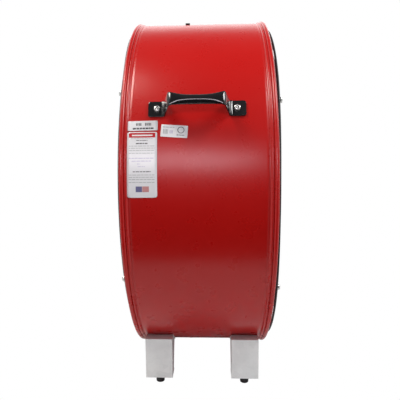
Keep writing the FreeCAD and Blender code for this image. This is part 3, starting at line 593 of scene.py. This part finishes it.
def handle_width(x, r):
    """Half the strap's width, and how far its edges are turned in, at a point of its path."""
    ax = abs(x)
    if r < 2.2:
        corner = 3.2
        end = min(HANDLE_END - ax, corner)
        shave = corner - math.sqrt(max(0.0, corner ** 2 - (corner - end) ** 2))
        return 13.0 - shave, 0.0
    if r < 26.0:
        share = (r - 2.2) / 23.8
        return 13.0 - 2.6 * math.sin(share * math.pi / 2), 0.3
    share = min(1.0, ax / HANDLE_BEND)
    return 8.0 + 3.4 * share ** 3.0, 4.6 * (1 - share ** 2.2) + 0.4


def make_handle(side, angle):
    across = 14

    def build(bm):
        path = handle_path()
        outer_rows, inner_rows = [], []
        for i, (x, r) in enumerate(path):
            before, after = Vector(path[max(0, i - 1)]), Vector(path[min(len(path) - 1, i + 1)])
            along = (after - before).normalized()
            normal = Vector((along.y, -along.x)) if along.x < 0 else Vector((-along.y, along.x))
            half, curl = handle_width(x, r)
            for rows, lift in ((outer_rows, 1.15), (inner_rows, -1.15)):
                row = []
                for j in range(across + 1):
                    v = 2 * j / across - 1
                    edge = abs(v) ** 2.4
                    thin = 1.0 if abs(v) < 0.99 else 0.72
                    px = x + normal.x * (lift * thin - curl * edge)
                    pr = r + normal.y * (lift * thin - curl * edge)
                    place = on_drum(angle, HANDLE_X + px * MM, BODY_RADIUS + pr * MM, v * half * MM)
                    row.append(bm.verts.new(place))
                rows.append(row)
        grid_faces(bm, outer_rows)
        grid_faces(bm, inner_rows)
        for side_index in (0, across):
            for i in range(len(path) - 1):
                bm.faces.new((outer_rows[i][side_index], outer_rows[i + 1][side_index],
                              inner_rows[i + 1][side_index], inner_rows[i][side_index]))
        for i in (0, len(path) - 1):
            for j in range(across):
                bm.faces.new((outer_rows[i][j], outer_rows[i][j + 1],
                              inner_rows[i][j + 1], inner_rows[i][j]))
    name = "handle_%s_strap" % side
    strap = make_piece(name, mesh_from(name, build), "handle_black", "drum")
    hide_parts("handle_" + side)
    edges = strap.modifiers.new("edges", "BEVEL")
    edges.width = 0.75 * MM
    edges.segments = 4
    edges.limit_method = "ANGLE"
    edges.angle_limit = math.radians(50)


# ------------------------------------------------------------------ labels

def label_frame(node, tilt):
    """A function from a label's own (u, v), 0 to 1, and a lift, to a point on the drum."""
    low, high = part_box(node)
    start = math.asin((low.z - AXIS.z) / BODY_RADIUS)
    end = math.asin(min(1.0, (high.z - AXIS.z) / BODY_RADIUS))
    wide, tall = high.x - low.x, (end - start) * BODY_RADIUS
    middle_x, middle = (low.x + high.x) / 2 - AXIS.x, (start + end) / 2
    turn = math.radians(tilt)

    def spot(u, v, lift):
        du, dv = (u - 0.5) * wide, (v - 0.5) * tall
        x = du * math.cos(turn) + dv * math.sin(turn)
        s = -du * math.sin(turn) + dv * math.cos(turn)
        return on_drum(math.degrees(middle + s / BODY_RADIUS), middle_x + x, BODY_RADIUS + lift)
    return spot, wide, tall


def add_patch(bm, spot, u0, u1, v0, v1, lift, wide, tall, corner=0.0, thick=0.0, steps=10):
    """A curved sheet with rounded corners, lying on the drum."""
    width, height = (u1 - u0) * wide, (v1 - v0) * tall
    corner = min(corner, width / 2.01, height / 2.01)
    rows = []
    count = max(4, int(height / (4 * MM)))
    marks = sorted({0.0, 1.0, *[k / count for k in range(count + 1)],
                    *[corner / height * (1 - math.cos(math.pi / 2 * k / 5)) for k in range(6)],
                    *[1 - corner / height * (1 - math.cos(math.pi / 2 * k / 5)) for k in range(6)]})
    for mark in marks:
        edge = min(mark, 1 - mark) * height
        shave = 0.0
        if corner > 0 and edge < corner:
            shave = corner - math.sqrt(max(0.0, corner ** 2 - (corner - edge) ** 2))
        row = []
        for j in range(steps + 1):
            across = shave + (width - 2 * shave) * j / steps
            row.append((u0 + across / wide, v0 + (v1 - v0) * mark))
        rows.append(row)
    top = [[bm.verts.new(spot(u, v, lift)) for u, v in row] for row in rows]
    grid_faces(bm, top)
    if thick:
        low = [[bm.verts.new(spot(u, v, lift - thick)) for u, v in row] for row in rows]
        grid_faces(bm, low)
        rim_top = top[0] + [r[-1] for r in top[1:]] + top[-1][-2::-1] + [r[0] for r in top[-2:0:-1]]
        rim_low = low[0] + [r[-1] for r in low[1:]] + low[-1][-2::-1] + [r[0] for r in low[-2:0:-1]]
        grid_faces(bm, [rim_top, rim_low], close_columns=True)


def word_bars(draw, u0, u1, v0, v1, longest):
    """A line of plain bars of uneven length, standing in for printed matter."""
    bars, u = [], u0
    while u < u1 - 0.02:
        length = min(draw.uniform(0.35, 1.0) * longest, u1 - u)
        bars.append((u, u + length, v0, v1))
        u += length + 0.018
    return bars


def label_prints():
    """Each label's prints by ink, its corner's radius in millimetres, and its tilt in degrees."""
    draw = random.Random(7)
    panel = {"red": [(0.055, 0.94, 0.912, 0.985)], "pale": [(0.16, 0.84, 0.936, 0.958)],
             "dark": [], "grey": [], "violet": [], "blue": [], "rose": []}
    panel["dark"] += word_bars(draw, 0.31, 0.68, 0.862, 0.872, 0.16)
    panel["dark"] += word_bars(draw, 0.30, 0.70, 0.812, 0.828, 0.14)
    panel["dark"] += word_bars(draw, 0.20, 0.80, 0.384, 0.397, 0.2)
    for v in (0.775, 0.742, 0.707, 0.665, 0.336, 0.302, 0.268, 0.225):
        panel["grey"] += word_bars(draw, 0.06, 0.92, v, v + 0.011, 0.15)
    panel["grey"] += word_bars(draw, 0.14, 0.86, 0.893, 0.900, 0.12)
    panel["violet"] += word_bars(draw, 0.06, 0.90, 0.588, 0.600, 0.17)
    panel["violet"] += word_bars(draw, 0.16, 0.84, 0.545, 0.556, 0.15)
    panel["violet"] += word_bars(draw, 0.34, 0.44, 0.502, 0.512, 0.1)
    panel["violet"] += word_bars(draw, 0.36, 0.60, 0.462, 0.471, 0.12)
    panel["blue"].append((0.29, 0.50, 0.085, 0.170))
    panel["rose"].append((0.51, 0.73, 0.085, 0.170))
    strip = {"dark": word_bars(draw, 0.28, 0.46, 0.50, 0.78, 0.05)
             + word_bars(draw, 0.58, 0.78, 0.50, 0.78, 0.05)
             + word_bars(draw, 0.17, 0.88, 0.14, 0.30, 0.11)}
    small = {"grey": word_bars(draw, 0.06, 0.50, 0.76, 0.83, 0.12)
             + word_bars(draw, 0.08, 0.30, 0.24, 0.62, 0.06),
             "violet": word_bars(draw, 0.33, 0.48, 0.30, 0.56, 0.06),
             "dark": word_bars(draw, 0.60, 0.88, 0.17, 0.24, 0.1)}
    return {"label_panel": (panel, 3.4, 0.0), "label_strip": (strip, 1.4, -0.9),
            "label_small": (small, 1.2, 4.2)}


def make_labels():
    for node, (prints, corner, tilt) in label_prints().items():
        spot, wide, tall = label_frame(node, tilt)

        def sheet(bm):
            add_patch(bm, spot, 0, 1, 0, 1, 0.42 * MM, wide, tall, corner * MM, 0.30 * MM)
        film_piece = make_piece(node + "_film", mesh_from(node + "_film", sheet), "label_white", "drum")
        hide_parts(node)
        for ink, bars in prints.items():
            if not bars:
                continue

            def printed(bm, bars=bars):
                for u0, u1, v0, v1 in bars:
                    add_patch(bm, spot, u0, u1, v0, v1, 0.47 * MM, wide, tall, 0.25 * MM, 0.04 * MM, 4)
            name = "%s_%s" % (node, ink)
            make_piece(name, mesh_from(name, printed), "label_white", "drum", INKS[ink], smooth=False)
        if node == "label_small":
            make_ring_mark(spot, wide, tall)


def make_ring_mark(spot, wide, tall):
    """A plain printed ring at the small label's right."""
    def build(bm):
        rows = []
        for k in range(48):
            turn = 2 * math.pi * k / 48
            rows.append([bm.verts.new(spot(0.745 + r * MM * math.cos(turn) / wide,
                                           0.62 + r * MM * math.sin(turn) / tall, 0.48 * MM))
                         for r in (4.3, 5.4)])
        grid_faces(bm, rows, close_rows=True)
    ring = mesh_from("label_small_ring", build)
    make_piece("label_small_ring", ring, "label_white", "drum", INKS["dark"])


# ------------------------------------------------------------------ everything else

REFINED = {"leg_front_near": 1.8, "leg_front_far": 1.8, "leg_rear_near": 1.8, "leg_rear_far": 1.8,
           "foot_front_near": 1.4, "foot_front_far": 1.4, "foot_rear_near": 1.4, "foot_rear_far": 1.4,
           "motor_bell_front": 2.0, "motor_bell_rear": 2.5, "capacitor": 2.0, "control_box": 1.2,
           "speed_knob": 1.0, "cord_gland": 0.6, "front_guard_plate": 0.6, "rear_guard_plate": 0.6,
           "leg_bolts": 1.0, "rail_bolts": 1.0, "motor_plate": 0.6, "fan_hub": 0.7}


def dress_nodes():
    for node, obj in frame["nodes"].items():
        for slot in obj.material_slots:
            slot.material = MATERIALS[SLOT_OF[node]]
    for node, radius in REFINED.items():
        refined(node, radius * MM)


def make_fasteners():
    for side in GUARD_SIDES:
        sign, face, outer = guard_data(side)
        spots = []
        for centre in screw_centres(side):
            seat = face + sign * (3.9 * MM + bow(side, centre, outer))
            spots.append((centre + Vector((seat, 0, 0)), Vector((sign, 0, 0))))
        make_screws(side + "_guard_screw_heads", side + "_guard_screws", spots, 5.3 * MM, 5.4 * MM)
    for side, angle in HANDLES.items():
        spots = [(on_drum(angle, HANDLE_X + x * MM, BODY_RADIUS + 2.6 * MM), drum_outward(angle))
                 for x in (HANDLE_SCREW, -HANDLE_SCREW)]
        make_screws("handle_%s_screw_heads" % side, "handle_screws_" + side, spots, 5.3 * MM, 3.7 * MM)


def make_camera():
    """The camera stands on the near side, a little above the axis, and looks slightly down."""
    camera_data = bpy.data.cameras.new("camera")
    camera_data.sensor_width = 36.0
    camera_data.lens = 41.156
    camera_data.shift_x = 0.0258
    camera_data.shift_y = 0.0074
    camera_data.clip_end = 60.0
    camera = bpy.data.objects.new("camera", camera_data)
    bpy.context.scene.collection.objects.link(camera)
    yaw, pitch, roll = (math.radians(v) for v in (-2.706, 7.003, -0.629))
    ahead = Vector((math.sin(yaw) * math.cos(pitch), math.cos(yaw) * math.cos(pitch), -math.sin(pitch)))
    right = Vector((math.cos(yaw), -math.sin(yaw), 0))
    up = right.cross(ahead)
    across = right * math.cos(roll) + up * math.sin(roll)
    above = up * math.cos(roll) - right * math.sin(roll)
    turn = Matrix((across, above, -ahead)).transposed().to_4x4()
    camera.matrix_world = Matrix.Translation(AXIS + Vector((0.01883, -1.02435, 0.08194))) @ turn
    bpy.context.scene.camera = camera


def make_floor():
    """A plain pale floor: it lights and mirrors in the fan, and the camera sees it as pure white."""
    def build(bm):
        corners = [(-9, -0.55), (9, -0.55), (9, 9), (-9, 9)]
        bm.faces.new([bm.verts.new((x, y, 0)) for x, y in corners])
    mesh = mesh_from("floor", build)
    s = Shader("floor_white", Roughness=0.9)
    s.color(s.ramp(s.noise(2.0), (0.58, 0.58, 0.58), (0.62, 0.62, 0.62)))
    mesh.materials.append(s.material)
    floor = bpy.data.objects.new("floor", mesh)
    floor.visible_camera = False
    bpy.context.scene.collection.objects.link(floor)


def add_softbox(name, location, target, size, power, color=(1, 1, 1)):
    data = bpy.data.lights.new(name, "AREA")
    data.shape = "RECTANGLE"
    data.size, data.size_y = size
    data.energy = power
    data.color = color
    light = bpy.data.objects.new(name, data)
    light.location = location
    light.rotation_euler = (Vector(target) - Vector(location)).to_track_quat("-Z", "Y").to_euler()
    bpy.context.scene.collection.objects.link(light)


SKY_GAIN = 3.0


class Sky:
    """The studio round the fan: dark in front, white low behind it, and pale at both sides."""

    def __init__(self):
        world = bpy.data.worlds.new("studio")
        bpy.context.scene.world = world
        world.use_nodes = True
        self.tree = world.node_tree
        self.tree.nodes.clear()
        coords = self.tree.nodes.new("ShaderNodeTexCoord")
        self.split = self.tree.nodes.new("ShaderNodeSeparateXYZ")
        self.tree.links.new(coords.outputs["Generated"], self.split.inputs[0])

    def by_height(self, stops):
        """A grey that changes with the direction's Z, from (z, value) pairs."""
        ramp = self.tree.nodes.new("ShaderNodeValToRGB")
        while len(ramp.color_ramp.elements) < len(stops):
            ramp.color_ramp.elements.new(0.5)
        for element, (z, value) in zip(ramp.color_ramp.elements, stops):
            element.position = (z + 1) / 2
            element.color = (value / SKY_GAIN, value / SKY_GAIN, value / SKY_GAIN, 1)
        self.tree.links.new(self.span(self.split.outputs["Z"], -1, 1), ramp.inputs["Fac"])
        return ramp.outputs["Color"]

    def span(self, source, low, high):
        made = self.tree.nodes.new("ShaderNodeMapRange")
        made.inputs["From Min"].default_value = low
        made.inputs["From Max"].default_value = high
        self.tree.links.new(source, made.inputs["Value"])
        return made.outputs["Result"]

    def size_of(self, source):
        made = self.tree.nodes.new("ShaderNodeMath")
        made.operation = "ABSOLUTE"
        self.tree.links.new(source, made.inputs[0])
        return made.outputs[0]

    def mix(self, factor, a, b):
        made = self.tree.nodes.new("ShaderNodeMix")
        made.data_type = "RGBA"
        self.tree.links.new(factor, made.inputs[0])
        for value, socket in ((a, made.inputs[6]), (b, made.inputs[7])):
            if isinstance(value, float):
                socket.default_value = (value / SKY_GAIN, value / SKY_GAIN, value / SKY_GAIN, 1)
            else:
                self.tree.links.new(value, socket)
        return made.outputs[2]

    def finish(self, color):
        background = self.tree.nodes.new("ShaderNodeBackground")
        background.inputs["Strength"].default_value = SKY_GAIN
        self.tree.links.new(color, background.inputs["Color"])
        output = self.tree.nodes.new("ShaderNodeOutputWorld")
        self.tree.links.new(background.outputs[0], output.inputs[0])


def make_light():
    sky = Sky()
    front = sky.by_height([(-1, 0.02), (-0.05, 0.02), (0.1, 0.06), (0.5, 0.10), (1, 0.12)])
    back = sky.by_height([(-0.1, 2.2), (0.29, 2.1), (0.52, 2.0), (0.66, 0.8), (0.76, 0.2), (1, 0.12)])
    around = sky.mix(sky.span(sky.split.outputs["Y"], -0.05, 0.15), front, back)
    sides = sky.span(sky.size_of(sky.split.outputs["X"]), 0.40, 0.75)
    room = sky.mix(sides, around, 0.78)
    seen = sky.tree.nodes.new("ShaderNodeLightPath").outputs["Is Camera Ray"]
    sky.finish(sky.mix(seen, room, 1.0))
    add_softbox("key_left", (-1.05, -0.60, 2.2), (0, 0, 0.4), (0.8, 0.8), 33, (1, 0.95, 0.88))
    add_softbox("key_right", (1.5, -0.75, 2.1), (0, 0, 0.4), (0.8, 0.8), 33)
    add_softbox("front_bank", (-0.25, -2.3, 1.15), (0, 0, 0.42), (1.3, 0.36), 14.0, (1, 0.91, 1))


make_camera()
make_drum()
for guard_side in GUARD_SIDES:
    make_guard(guard_side)
for handle_side, handle_angle in HANDLES.items():
    make_handle(handle_side, handle_angle)
make_fasteners()
dress_nodes()
make_labels()
make_floor()
make_light()
bpy.context.scene.view_settings.view_transform = "Standard"
